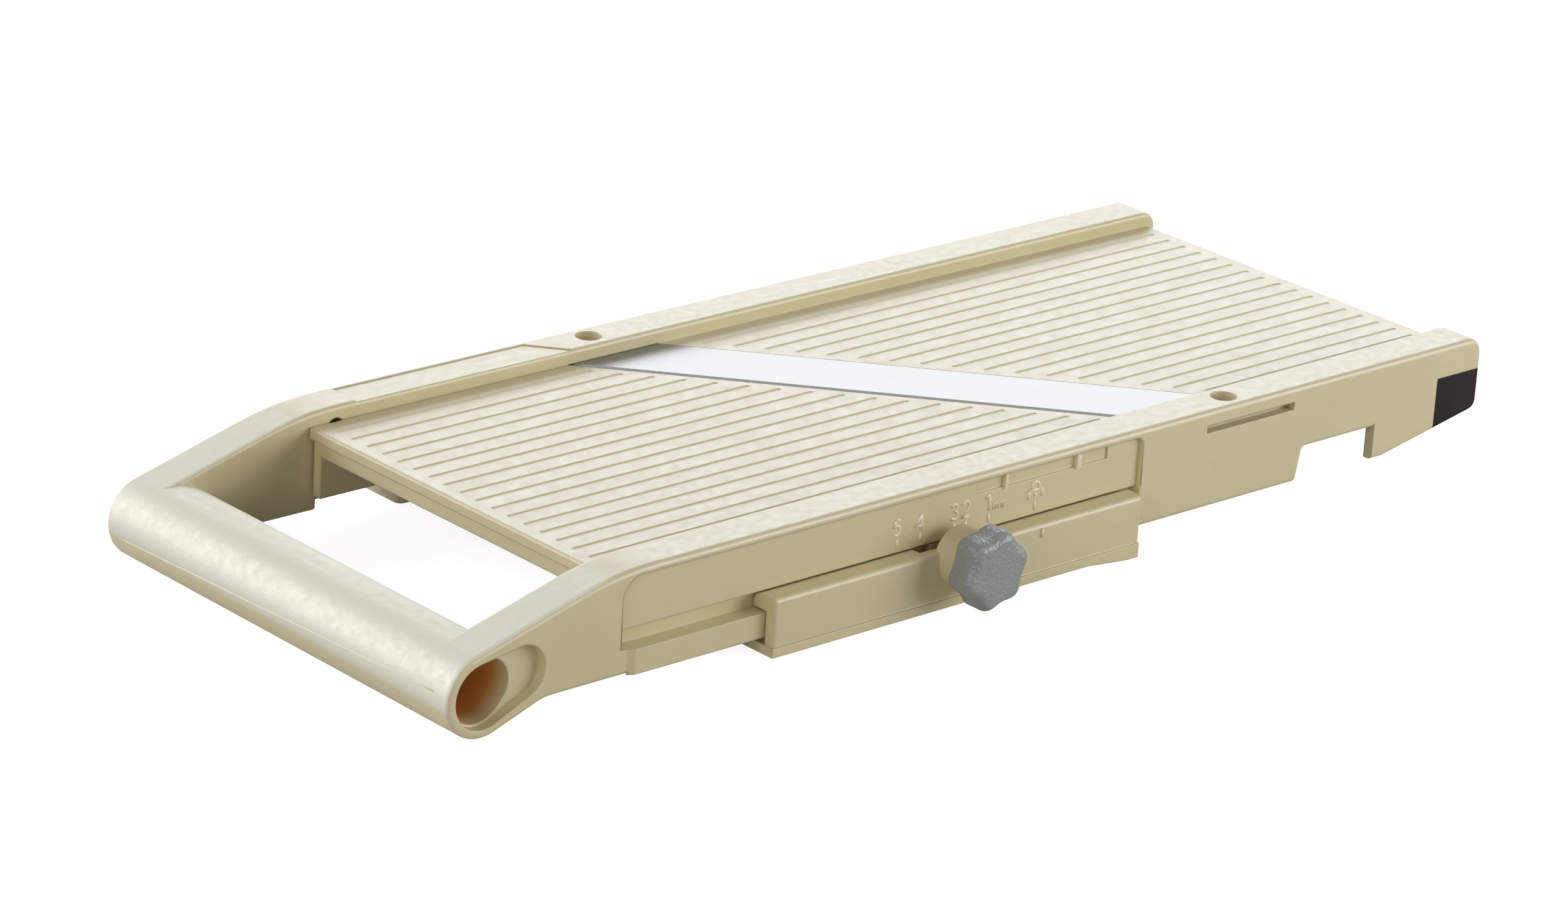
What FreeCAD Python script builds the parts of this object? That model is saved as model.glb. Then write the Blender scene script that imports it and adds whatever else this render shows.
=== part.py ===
import FreeCAD, Part
import math
import os
import re

import Sketcher

# Every driving dimension, in millimetres and degrees. Places along the slicer are distances
# behind the toe end of the fixed bed; heights are measured from the table.
SIZES = {
    # Side rails and fixed bed
    "body_width": 140.0,
    "rail_width": 12.5,
    "stand_height": 6.0,
    "wall_height": 27.6,
    "bed_drop": 4.0,
    "bed_thick": 3.0,
    "toe_wall": 3.0,
    "edge_round": 1.4,
    "inner_round": 1.2,
    # Toe of each rail, with the notch that hooks on a bowl
    "toe_reach": 3.8,
    "toe_rise": 6.9,
    "toe_slope": 32.9,
    "toe_round": 3.0,
    "toe_top_round": 5.0,
    "notch_front": 37.8,
    "notch_length": 27.9,
    "notch_height": 9.5,
    "notch_slant": 1.7,
    "notch_round": 1.2,
    "pad_length": 17.4,
    "pad_top": 18.6,
    "pad_width": 10.0,
    # Flanks and hollow grip
    "flank_lead": 2.0,
    "flank_blend": 90.0,
    "flank_under": 19.0,
    "under_blend": 14.0,
    "grip_reach": 42.9,
    "grip_radius": 11.0,
    "grip_back": 2.5,
    "grip_back_rise": 1.2,
    "grip_back_radius": 10.0,
    "bore_wall": 2.9,
    "mouth_wall": 2.4,
    "mouth_back": 11.5,
    "mouth_back_rise": 3.5,
    "mouth_back_radius": 7.0,
    "mouth_floor": 9.5,
    # Shallow plate on top of the far rail
    "plate_setback": 19.1,
    "plate_length": 63.2,
    "plate_margin": 1.9,
    "plate_slant": 9.6,
    "plate_depth": 0.3,
    # Outer face of each side: scale panel, track and slide flange
    "panel_lead": 0.7,
    "panel_front": 128.0,
    "panel_depth": 1.3,
    "panel_margin": 2.1,
    "panel_round_back": 6.0,
    "gauge_setback": 11.8,
    "gauge_length": 47.1,
    "gauge_height": 3.9,
    "gauge_depth": 0.5,
    "panel_round_front": 2.2,
    "flange_height": 6.7,
    "flange_proud": 1.0,
    "flange_setback": 2.9,
    "flange_slant": 1.9,
    "track_height": 4.9,
    "track_depth": 3.9,
    "core_thick": 2.2,
    # Hollow behind the ramp rails
    "hollow_setback": 2.6,
    "hollow_end": 3.0,
    "skirt_thick": 2.0,
    "skirt_height": 9.1,
    "guide_setback": 8.6,
    "guide_width": 5.7,
    "guide_reach": 0.8,
    "rib_setback": 16.9,
    "rib_width": 2.3,
    "rib_proud": 0.5,
    # Blade with its screws and inserts
    "blade_width": 23.2,
    "blade_thick": 0.8,
    "blade_angle": 41.6,
    "blade_centre": 150.5,
    "blade_seat": 12.0,
    "blade_bevel": 1.6,
    "blade_edge": 0.25,
    "blade_near_inset": 1.2,
    "blade_far_inset": 4.0,
    "blade_clear": 0.1,
    "slot_margin": 0.2,
    "slot_end": 2.0,
    "slot_height": 2.3,
    "screw_setback": 1.7,
    "access_bore": 7.3,
    "screw_head": 6.6,
    "screw_head_height": 1.1,
    "screw_shank": 4.0,
    "screw_length": 7.5,
    "screw_clear": 0.05,
    "insert_outer": 6.0,
    "insert_length": 7.0,
    "insert_sink": 0.3,
    "boss_outer": 10.0,
    "boss_height": 8.5,
    # Feed ramp
    "ramp_back": 303.1,
    "ramp_gap": 0.5,
    "ramp_edge_gap": 0.4,
    "ramp_thick": 3.0,
    "ramp_round": 0.7,
    "apron_height": 4.2,
    "apron_thick": 2.0,
    "apron_setback": 1.2,
    "arm_inset": 0.5,
    "arm_thick": 3.0,
    "arm_drop": 1.8,
    "arm_end": 6.0,
    "arm_margin": 2.0,
    "lug_clear": 0.3,
    "lug_height": 3.8,
    # Flutes of the ramp and the bed
    "flute_pitch": 6.35,
    "flute_width": 1.6,
    "flute_depth": 0.26,
    "flute_margin": 4.2,
    "flute_blade_margin": 3.4,
    # Slider carriage and its travel
    "slide_travel": 44.8,
    "ramp_fall": 5.0,
    "slide_clear": 0.4,
    "slider_setback": 3.2,
    "carriage_length": 127.4,
    "base_thick": 2.5,
    "strip_width": 16.5,
    "bridge_length": 23.0,
    "far_lead": 14.0,
    "base_round": 2.0,
    "foot_drop": 1.5,
    "foot_slope": 14.5,
    "foot_land": 4.0,
    "runner_inset": 0.5,
    "runner_width": 5.0,
    "runner_setback": 4.0,
    "block_proud": 4.5,
    "block_round": 1.2,
    "hook_round": 2.6,
    "hook_gap": 12.0,
    # Uprights and lift pins
    "upright_thick": 3.0,
    "upright_gap": 0.6,
    "upright_margin": 2.5,
    "pin_setback": 11.6,
    "pin_spacing": 57.0,
    "pin_height": 15.0,
    "pin_outer": 4.0,
    "pin_reach": 0.5,
    "pin_clear": 0.15,
    "pin_press": 0.02,
    # Screws between the blocks and the base
    "fixing_inset": 2.1,
    "fixing_head": 3.2,
    "fixing_head_height": 1.2,
    "fixing_shank": 2.0,
    "fixing_length": 6.0,
    "fixing_clear": 0.1,
    "fixing_margin": 14.0,
    "fixing_spacing": 48.0,
    # Clamp knob, stud, insert and shoe
    "knob_setback": 64.3,
    "clamp_rise": 2.05,
    "boss_radius": 7.9,
    "boss_setback": 1.1,
    "boss_proud": 5.3,
    "knob_gap": 0.6,
    "knob_length": 8.2,
    "knob_radius": 10.1,
    "knob_lobe": 0.7,
    "knob_phase": 16.0,
    "knob_round": 2.6,
    "knob_back_round": 1.0,
    "stud_outer": 4.0,
    "stud_tip": 2.5,
    "stud_tip_length": 1.8,
    "stud_embed": 5.4,
    "stud_clear": 0.06,
    "clamp_sleeve": 7.0,
    "sleeve_setback": 0.3,
    "shoe_length": 12.0,
    "shoe_thick": 3.0,
    "shoe_clear": 0.35,
    "shoe_gap": 0.05,
}
FLUTES = 17
KNOB_LOBES = 6
FIXINGS = 3
SIDES = ((-1, "near"), (1, "far"))

doc = FreeCAD.newDocument("mandoline_slicer")
sheet = doc.addObject("Spreadsheet::Sheet", "Sizes")
for row, (alias, number) in enumerate(SIZES.items(), start=1):
    sheet.set(f"A{row}", alias)
    sheet.set(f"B{row}", str(number))
    sheet.setAlias(f"B{row}", alias)
doc.recompute()

# A formula is written with the names of the sheet, which all hold an underscore.
NAME = re.compile(r"[a-z]+(?:_[a-z]+)+")

# Heights above the table
RAIL_TOP = "(stand_height + wall_height)"
BED_TOP = f"({RAIL_TOP} - bed_drop)"
BED_LOW = f"({BED_TOP} - bed_thick)"
FLANGE_TOP = "(stand_height + flange_height)"
PANEL_LOW = f"({FLANGE_TOP} + track_height)"
PANEL_TOP = f"({RAIL_TOP} - panel_margin)"
SKIRT_LOW = f"({BED_TOP} - skirt_height)"
RAMP_LOW = f"({BED_TOP} - ramp_thick)"
BLADE_LOW = f"({BED_TOP} - blade_thick)"
BASE_TOP = "(foot_drop + base_thick)"
BLOCK_TOP = f"({PANEL_LOW} - slide_clear)"
CLAMP_HEIGHT = f"({FLANGE_TOP} + clamp_rise)"

# Distances behind the toe end of the bed
GRIP = "(ramp_back + grip_reach)"
FLANK_START = "(ramp_back + flank_lead)"
PANEL_BACK = "(ramp_back + panel_lead)"
FLANGE_BACK = "(ramp_back - flange_setback)"
HOLLOW_BACK = "(ramp_back - hollow_setback)"
HOLLOW_FRONT = "(panel_front - hollow_end)"
GUIDE = "(ramp_back - guide_setback)"
CARRIAGE_FRONT = "(panel_front + slider_setback)"
CARRIAGE_BACK = f"({CARRIAGE_FRONT} + carriage_length)"
PIN_REAR = f"({CARRIAGE_BACK} - pin_setback)"
PIN_FRONT = f"({PIN_REAR} - pin_spacing)"
KNOB = f"({CARRIAGE_FRONT} + knob_setback)"

# Distances from the middle plane
HALF = "(body_width / 2)"
RAIL_INNER = f"({HALF} - rail_width)"
RAIL_MIDDLE = f"({HALF} - rail_width / 2)"
SKIRT_BACK = f"({RAIL_INNER} + skirt_thick)"
TRACK_FACE = f"({HALF} - track_depth)"
CORE_FACE = f"({TRACK_FACE} - core_thick)"
BLOCK_FACE = f"({HALF} + block_proud)"
BLOCK_BACK = f"({HALF} + flange_proud + slide_clear)"
STRIP_INNER = f"({BLOCK_FACE} - strip_width)"
RAMP_SIDE = f"({RAIL_INNER} - ramp_gap)"
ARM_OUTER = f"({RAMP_SIDE} - arm_inset)"
ARM_INNER = f"({ARM_OUTER} - arm_thick)"
UPRIGHT_INNER = f"({SKIRT_BACK} + upright_gap)"
UPRIGHT_OUTER = f"({UPRIGHT_INNER} + upright_thick)"
BOSS_FACE = f"({BLOCK_FACE} + boss_proud)"
KNOB_BACK = f"({BOSS_FACE} + knob_gap)"
KNOB_FACE = f"({KNOB_BACK} + knob_length)"
SHOE_FACE = f"({TRACK_FACE} + shoe_gap)"
SHOE_BACK = f"({SHOE_FACE} + shoe_thick)"

# The finished part stands with the middle of its footprint at the origin.
SHIFT_X = f"(({GRIP} + grip_radius - toe_reach) / 2)"
SHIFT_Y = f"(({KNOB_FACE} - {BLOCK_FACE}) / 2)"

PARTS = []


def formula(text):
    """The text with each name written as a cell of the sheet."""
    return NAME.sub(r"Sizes.\g<0>", text)


def value(text):
    """The number that a formula gives."""
    return float(sheet.evalExpression(formula(text)))


def bind(item, path, text):
    """Tie one property of an object to a formula."""
    item.setExpression(path, formula(text))


def box(name, x, y, z):
    """A block between a low and a high formula along each axis."""
    item = doc.addObject("Part::Box", name)
    for size, axis, (low, high) in zip(("Length", "Width", "Height"), "xyz", (x, y, z)):
        bind(item, size, f"({high}) - ({low})")
        bind(item, f"Placement.Base.{axis}", low)
    return item


def cylinder(name, base, radius, length, along="z"):
    """A cylinder from its base point, along Z or towards the near side."""
    item = doc.addObject("Part::Cylinder", name)
    if along == "near":
        item.Placement.Rotation = FreeCAD.Rotation(FreeCAD.Vector(1, 0, 0), 90)
    bind(item, "Radius", radius)
    bind(item, "Height", length)
    for axis, place in zip("xyz", base):
        bind(item, f"Placement.Base.{axis}", place)
    return item


def fuse(name, *items):
    """One object made of several that overlap or touch."""
    item = doc.addObject("Part::MultiFuse", name)
    item.Shapes = list(items)
    return item


def cut(name, base, *tools):
    """The base less every tool."""
    item = doc.addObject("Part::Cut", name)
    item.Base = base
    item.Tool = tools[0] if len(tools) == 1 else fuse(f"{name}_tools", *tools)
    return item


def common(name, base, tool):
    """What two objects share."""
    item = doc.addObject("Part::Common", name)
    item.Base = base
    item.Tool = tool
    return item


def mirrored(name, source):
    """The copy of an object on the other side of the middle plane."""
    item = doc.addObject("Part::Mirroring", name)
    item.Source = source
    item.Normal = (0, 1, 0)
    return item


def finish(item, label):
    """Name a sub-part and move it from the drawing to the part's own frame."""
    item.Label = label
    drawn = dict(item.ExpressionEngine)
    for axis, shift in (("x", SHIFT_X), ("y", SHIFT_Y)):
        path = f".Placement.Base.{axis}"
        place = drawn.get(path, "0")
        item.setExpression(path, f"{place} + {formula(shift)}")
    PARTS.append(item)
    return item


def tangent_angle(first, second):
    """Direction from two corner circles to the line that runs round their outside."""
    span = math.hypot(second[0] - first[0], second[1] - first[1])
    heading = math.atan2(second[1] - first[1], second[0] - first[0])
    return heading - math.acos((first[2] - second[2]) / span)


def draw(sketch, corners):
    """A closed outline, counter-clockwise, through points and round circles.

    Each corner is (u, v) or (u, v, radius), in formulas. Lines are tangent to the circles.
    """
    corners = [corner if len(corner) == 3 else (*corner, None) for corner in corners]
    spots = [(value(u), value(v), value(r) if r else 0.0) for u, v, r in corners]
    count = len(spots)
    angles = [tangent_angle(spots[i], spots[(i + 1) % count]) for i in range(count)]

    def rim(spot, angle):
        reach = spot[2]
        return FreeCAD.Vector(spot[0] + reach * math.cos(angle), spot[1] + reach * math.sin(angle), 0)

    lines = []
    for i in range(count):
        ends = rim(spots[i], angles[i]), rim(spots[(i + 1) % count], angles[i])
        lines.append(sketch.addGeometry(Part.LineSegment(*ends), False))
    for i, (u, v, radius) in enumerate(corners):
        arriving = lines[i - 1]
        if radius:
            circle = Part.Circle(FreeCAD.Vector(*spots[i][:2], 0), FreeCAD.Vector(0, 0, 1), spots[i][2])
            arc = sketch.addGeometry(Part.ArcOfCircle(circle, angles[i - 1], angles[i]), False)
            sketch.addConstraint(Sketcher.Constraint("Tangent", arriving, 2, arc, 1))
            sketch.addConstraint(Sketcher.Constraint("Tangent", arc, 2, lines[i], 1))
            size = sketch.addConstraint(Sketcher.Constraint("Radius", arc, spots[i][2]))
            bind(sketch, f"Constraints[{size}]", radius)
            held = (arc, 3)
        else:
            sketch.addConstraint(Sketcher.Constraint("Coincident", arriving, 2, lines[i], 1))
            held = (lines[i], 1)
        for kind, place, text in (("DistanceX", spots[i][0], u), ("DistanceY", spots[i][1], v)):
            spot = sketch.addConstraint(Sketcher.Constraint(kind, -1, 1, *held, place))
            bind(sketch, f"Constraints[{spot}]", text)


def pad(name, plane, corners, low, high):
    """A body padded from an outline, between two places along the plane's normal."""
    body = doc.addObject("PartDesign::Body", name)
    sketch = body.newObject("Sketcher::SketchObject", f"{name}_outline")
    support = [item for item in body.Origin.OriginFeatures if item.Role == plane][0]
    sketch.AttachmentSupport = [(support, "")]
    sketch.MapMode = "FlatFace"
    bind(sketch, "AttachmentOffset.Base.z", f"-({high})" if plane == "XZ_Plane" else low)
    draw(sketch, corners)
    solid = body.newObject("PartDesign::Pad", f"{name}_pad")
    solid.Profile = sketch
    bind(solid, "Length", f"({high}) - ({low})")
    doc.recompute()
    return body


def edges(shape, test):
    """Names of the edges of a shape that pass a test on their middle point and box."""
    chosen = []
    for number, edge in enumerate(shape.Edges, start=1):
        middle = edge.valueAt((edge.FirstParameter + edge.LastParameter) / 2)
        if test(middle, edge.BoundBox):
            chosen.append(f"Edge{number}")
    return chosen


def rounded(body, test, radius):
    """Round the edges of a body that pass a test."""
    base = body.Tip
    fillet = body.newObject("PartDesign::Fillet", f"{body.Name}_round")
    fillet.Base = (base, edges(base.Shape, test))
    bind(fillet, "Radius", radius)
    body.Tip = fillet
    doc.recompute()


def close(first, second):
    """Whether two lengths agree within a hundredth of a millimetre."""
    return abs(first - second) < 0.01


def corner_at(u, v, axes="xz"):
    """A test for the edge of a pad that stands on one corner of its outline."""
    first, second = value(u), value(v)

    def test(middle, bounds):
        spot = [getattr(middle, axis) for axis in axes]
        size = [getattr(bounds, f"{axis.upper()}Length") for axis in axes]
        return close(spot[0], first) and close(spot[1], second) and max(size) < 0.01

    return test


def blade_line(across, offset="0"):
    """Place along the slicer of a line beside the blade's centre line."""
    return f"(-blade_centre - tan(blade_angle) * ({across}) + ({offset}) / cos(blade_angle))"


def blade_strip(name, near, far, back, front, low, high):
    """A diagonal strip along the blade, between two offsets from its centre line."""
    corners = [
        (blade_line(near, back), near),
        (blade_line(near, front), near),
        (blade_line(far, front), far),
        (blade_line(far, back), far),
    ]
    return pad(name, "XY_Plane", corners, low, high)


def side_corners():
    """Outline of a side wall from the toe round the grip and back along the notch."""
    toe_low = "stand_height + toe_rise"
    notch_top = "stand_height + notch_height"
    return [
        ("toe_reach", toe_low),
        ("toe_reach", RAIL_TOP),
        (f"-{FLANK_START}", RAIL_TOP),
        (f"-{GRIP}", "grip_radius", "grip_radius"),
        (f"-{GRIP} + flank_under", "stand_height"),
        ("-notch_front - notch_length - notch_slant", "stand_height"),
        ("-notch_front - notch_length", notch_top),
        ("-notch_front", notch_top),
        ("-notch_front", "stand_height"),
        ("-toe_slope", "stand_height"),
    ]


def side_blank(name):
    """Solid side of the frame on the near side, with its corners and both rims rounded."""
    corners = side_corners()
    body = pad(name, "XZ_Plane", corners, f"-{HALF}", f"-{RAIL_INNER}")
    radii = {
        0: "toe_round",
        1: "toe_top_round",
        2: "flank_blend",
        4: "under_blend",
        5: "notch_round",
        6: "notch_round",
        9: "toe_round",
    }
    for place, radius in radii.items():
        rounded(body, corner_at(*corners[place][:2]), radius)
    slope_end = value(f"-{FLANK_START} + flank_blend / 2")
    grip_end = -value(GRIP)
    above = value("stand_height + toe_rise")
    for face, radius in ((HALF, "edge_round"), (RAIL_INNER, "inner_round")):
        place = -value(face)

        def rim(middle, bounds):
            on_face = close(middle.y, place) and bounds.YLength < 0.01
            on_flank = middle.x < slope_end and bounds.XLength < 40
            return on_face and (middle.z > above or middle.x < grip_end or on_flank)

        rounded(body, rim, radius)
    return body


def near_side(blank):
    """Near side of the frame: the blank less its panel, track and inner hollows."""
    outside = f"-{HALF} - 1"
    panel_corners = [
        (f"-{PANEL_BACK}", PANEL_LOW),
        ("-panel_front", PANEL_LOW),
        ("-panel_front", PANEL_TOP),
        (f"-{PANEL_BACK}", PANEL_TOP),
    ]
    panel = pad("panel_recess", "XZ_Plane", panel_corners, outside, f"-{HALF} + panel_depth")
    rounded(panel, corner_at(f"-{PANEL_BACK}", PANEL_TOP), "panel_round_back")
    rounded(panel, corner_at("-panel_front", PANEL_TOP), "panel_round_front")
    track = box(
        "track_recess",
        (f"-{PANEL_BACK}", "-panel_front"),
        (outside, f"-{TRACK_FACE}"),
        (FLANGE_TOP, PANEL_LOW),
    )
    behind_skirt = box(
        "rail_hollow",
        (f"-{HOLLOW_BACK}", f"-{HOLLOW_FRONT}"),
        (f"-{CORE_FACE}", f"-{SKIRT_BACK}"),
        ("0", BED_TOP),
    )
    below_skirt = box(
        "skirt_relief",
        (f"-{HOLLOW_BACK}", f"-{HOLLOW_FRONT}"),
        (f"-{SKIRT_BACK}", f"-{RAIL_INNER} + 1"),
        ("0", SKIRT_LOW),
    )
    toe_hollow = box(
        "toe_hollow",
        (f"-{HOLLOW_FRONT}", "toe_reach - pad_length - toe_wall"),
        (f"-{HALF} + toe_wall", f"-{RAIL_INNER} + 1"),
        ("0", BED_LOW),
    )
    guide_top = f"{BED_TOP} + guide_reach - guide_width / 2"
    guide_corners = [
        (f"-{GUIDE}", "stand_height", "guide_width / 2"),
        (f"-{GUIDE}", guide_top, "guide_width / 2"),
    ]
    guide = pad("guide_slot", "XZ_Plane", guide_corners, f"-{SKIRT_BACK} - 0.1", f"-{RAIL_INNER} + 1")
    shell = cut("near_shell", blank, panel, track, behind_skirt, below_skirt, toe_hollow, guide)
    flange_corners = [
        (f"-{FLANGE_BACK} - flange_slant", f"-{HALF}"),
        (f"-{FLANGE_BACK}", f"-{HALF} - flange_proud"),
        ("-panel_front - flange_slant", f"-{HALF} - flange_proud"),
        ("-panel_front", f"-{HALF}"),
    ]
    flange = pad("slide_flange", "XY_Plane", flange_corners, "stand_height", FLANGE_TOP)
    rib = box(
        "guide_rib",
        ("-ramp_back + rib_setback", "-ramp_back + rib_setback + rib_width"),
        (f"-{CORE_FACE}", f"-{CORE_FACE} + rib_proud"),
        ("stand_height", BED_TOP),
    )
    return fuse("near_side", shell, flange, rib)


def pad_box(name):
    """Space of the rubber pad at the toe of the near rail."""
    return box(
        name,
        ("toe_reach - pad_length", "toe_reach + 1"),
        (f"-{HALF} - 1", f"-{HALF} + pad_width"),
        ("0", "stand_height + pad_top"),
    )


def flute_cutters(name, region):
    """Round-ended shallow flutes along the slicer; region gives the ends at a place across it."""
    half_width = value("flute_width") / 2
    depth = value("flute_depth")
    radius = (half_width ** 2 + depth ** 2) / (2 * depth)
    height = value(BED_TOP) - depth + radius
    tools = []
    for number in range(FLUTES):
        across = (number - (FLUTES - 1) / 2) * value("flute_pitch")
        back, front = region(across)
        start = FreeCAD.Vector(back, across, height)
        end = FreeCAD.Vector(front, across, height)
        tools.append(Part.makeCylinder(radius, front - back, start, FreeCAD.Vector(1, 0, 0)))
        tools.append(Part.makeSphere(radius, start))
        tools.append(Part.makeSphere(radius, end))
    item = doc.addObject("Part::Feature", name)
    item.Shape = Part.makeCompound(tools)
    return item


def screw_place(side):
    """Place of a blade screw along the slicer; side is -1 near and +1 far."""
    return blade_line(f"{side} * {RAIL_MIDDLE}") + " + screw_setback"


def screw_cylinder(name, side, radius, low, high):
    """An upright cylinder on the axis of a blade screw."""
    base = (screw_place(side), f"{side} * {RAIL_MIDDLE}", low)
    return cylinder(name, base, radius, f"({high}) - ({low})")


def main_frame():
    """The moulded frame: both sides, the fixed bed, the grip and the blade bosses."""
    blank = side_blank("side_blank")
    near = near_side(blank)
    far = mirrored("far_side", near)
    bed_near = f"-{RAIL_INNER} - 0.5"
    bed_far = f"{RAIL_INNER} + 0.5"
    seat_edge = "blade_width / 2 - blade_seat"
    bed_corners = [
        (blade_line(bed_near, seat_edge), bed_near),
        ("0", bed_near),
        ("0", bed_far),
        (blade_line(bed_far, seat_edge), bed_far),
    ]
    bed = pad("fixed_bed", "XY_Plane", bed_corners, BED_LOW, BED_TOP)
    rear_edge = "blade_width / 2 + flute_blade_margin"
    margin = value("flute_margin")
    flutes = flute_cutters("bed_flutes", lambda y: (value(blade_line(str(y), rear_edge)), -margin))
    grip_corners = [
        (f"-{GRIP}", "grip_radius", "grip_radius"),
        (f"-{GRIP} + grip_back", "grip_radius + grip_back_rise", "grip_back_radius"),
    ]
    grip = pad("grip_tube", "XZ_Plane", grip_corners, f"-{RAIL_INNER} - 2", f"{RAIL_INNER} + 2")
    bore_corners = [
        (f"-{GRIP}", "grip_radius", "grip_radius - bore_wall"),
        (f"-{GRIP} + grip_back", "grip_radius + grip_back_rise", "grip_back_radius - bore_wall"),
    ]
    bore = pad("grip_bore", "XZ_Plane", bore_corners, f"-{HALF} - 1", f"{HALF} + 1")
    mouth_corners = [
        (f"-{GRIP}", "grip_radius", "grip_radius - mouth_wall"),
        (f"-{GRIP} + mouth_back", "grip_radius + mouth_back_rise", "mouth_back_radius"),
    ]
    mouth_end = f"-{RAIL_INNER} - mouth_floor"
    near_mouth = pad("near_mouth", "XZ_Plane", mouth_corners, f"-{HALF} - 1", mouth_end)
    far_mouth = mirrored("far_mouth", near_mouth)
    gauge_front = "-panel_front - gauge_setback"
    gauge = box(
        "gauge_recess",
        (f"{gauge_front} - gauge_length", gauge_front),
        (f"-{HALF} - 1", f"-{HALF} + panel_depth + gauge_depth"),
        (f"{PANEL_TOP} - gauge_height", PANEL_TOP),
    )
    plate_front = f"{screw_place(1)} - plate_setback"
    plate_outer = f"{HALF} - plate_margin"
    plate_inner = f"{RAIL_INNER} - 0.5"
    plate_corners = [
        (f"{plate_front} - plate_length", plate_inner),
        (f"{plate_front} + plate_slant", plate_inner),
        (plate_front, plate_outer),
        (f"{plate_front} - plate_length", plate_outer),
    ]
    plate = pad("rail_plate", "XY_Plane", plate_corners, f"{RAIL_TOP} - plate_depth", f"{RAIL_TOP} + 1")
    near_pad = pad_box("near_pad_seat")
    far_pad = mirrored("far_pad_seat", near_pad)
    bosses = []
    tools = [flutes, bore, near_mouth, far_mouth, gauge, plate, near_pad, far_pad]
    for side, word in SIDES:
        low = f"{BLADE_LOW} - boss_height"
        bosses.append(screw_cylinder(f"{word}_boss", side, "boss_outer / 2", low, BED_TOP))
        tools.append(screw_cylinder(f"{word}_boss_bore", side, "insert_outer / 2", low, BED_TOP))
        tools.append(screw_cylinder(f"{word}_access", side, "access_bore / 2", BED_TOP, f"{RAIL_TOP} + 1"))
    tools.append(
        blade_strip(
            "blade_pocket",
            f"-{HALF} + blade_near_inset - blade_clear",
            f"{HALF} - blade_far_inset + blade_clear",
            "-blade_width / 2 - blade_clear",
            "blade_width / 2 + blade_clear",
            BLADE_LOW,
            f"{BED_TOP} + blade_clear / 2",
        )
    )
    tools.append(
        box(
            "blade_slot",
            (
                f"{blade_line(f'-{HALF}', '-blade_width / 2')} - slot_margin",
                f"{blade_line(f'-{HALF}', 'blade_width / 2')} + slot_end",
            ),
            (f"-{HALF} - 1", f"-{HALF} + toe_wall"),
            (f"{BED_TOP} - slot_height", f"{BED_TOP} - blade_clear"),
        )
    )
    whole = fuse("frame_blank", near, far, bed, grip, *bosses)
    return finish(cut("frame_cut", whole, *tools), "main_frame"), blank


def main_blade():
    """The steel blade with a ground bevel and its two screw holes."""
    near = f"-{HALF} + blade_near_inset"
    far = f"{HALF} - blade_far_inset"
    strip = blade_strip("blade_blank", near, far, "-blade_width / 2", "blade_width / 2", BLADE_LOW, BED_TOP)
    top, slope = value(BED_TOP), value("tan(blade_angle)")
    front = value(blade_line("0", "-blade_width / 2"))
    ground = strip.Tip
    bevel = strip.newObject("PartDesign::Chamfer", "blade_ground_edge")

    def cutting(middle, bounds):
        return close(middle.z, top) and close(middle.x + slope * middle.y, front)

    bevel.Base = (ground, edges(ground.Shape, cutting))
    bevel.ChamferType = "Two distances"
    bind(bevel, "Size", "blade_thick - blade_edge")
    bind(bevel, "Size2", "blade_bevel")
    strip.Tip = bevel
    doc.recompute()
    radius = "screw_shank / 2 + screw_clear"
    top = f"{BED_TOP} + 1"
    holes = [
        screw_cylinder(f"{word}_blade_hole", side, radius, BLADE_LOW, top) for side, word in SIDES
    ]
    return finish(cut("blade_cut", strip, *holes), "main_blade")


def blade_fixing(side, word):
    """One blade screw and the insert that takes it."""
    head_top = f"{BED_TOP} + screw_head_height"
    head = screw_cylinder(f"{word}_head", side, "screw_head / 2", BED_TOP, head_top)
    shank = screw_cylinder(f"{word}_shank", side, "screw_shank / 2", f"{BED_TOP} - screw_length", BED_TOP)
    finish(fuse(f"{word}_screw_body", head, shank), f"{word}_blade_screw")
    top = f"{BLADE_LOW} - insert_sink"
    low = f"{top} - insert_length"
    sleeve = screw_cylinder(f"{word}_sleeve", side, "insert_outer / 2", low, top)
    radius = "screw_shank / 2 + screw_clear"
    bore = screw_cylinder(f"{word}_sleeve_bore", side, radius, f"{low} - 1", f"{top} + 1")
    finish(cut(f"{word}_insert_body", sleeve, bore), f"{word}_blade_insert")


def toe_pads(blank):
    """The rubber pads that fill the seats at the toes of the rails."""
    near, opposite = [
        common(f"{word}_pad_body", blank, pad_box(f"{word}_pad_space")) for word in ("near", "opposite")
    ]
    finish(near, "near_toe_pad")
    finish(mirrored("far_pad_body", opposite), "far_toe_pad")


def arm_slot(word, place, inner, outer):
    """Sloping slot in a ramp arm for one lift pin over the slider's whole travel."""
    radius = "pin_outer / 2 + pin_clear"
    corners = [
        (f"-{place}", "pin_height", radius),
        (f"-{place} - slide_travel", "pin_height + ramp_fall", radius),
    ]
    return pad(f"{word}_slot", "XZ_Plane", corners, inner, outer)


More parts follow.
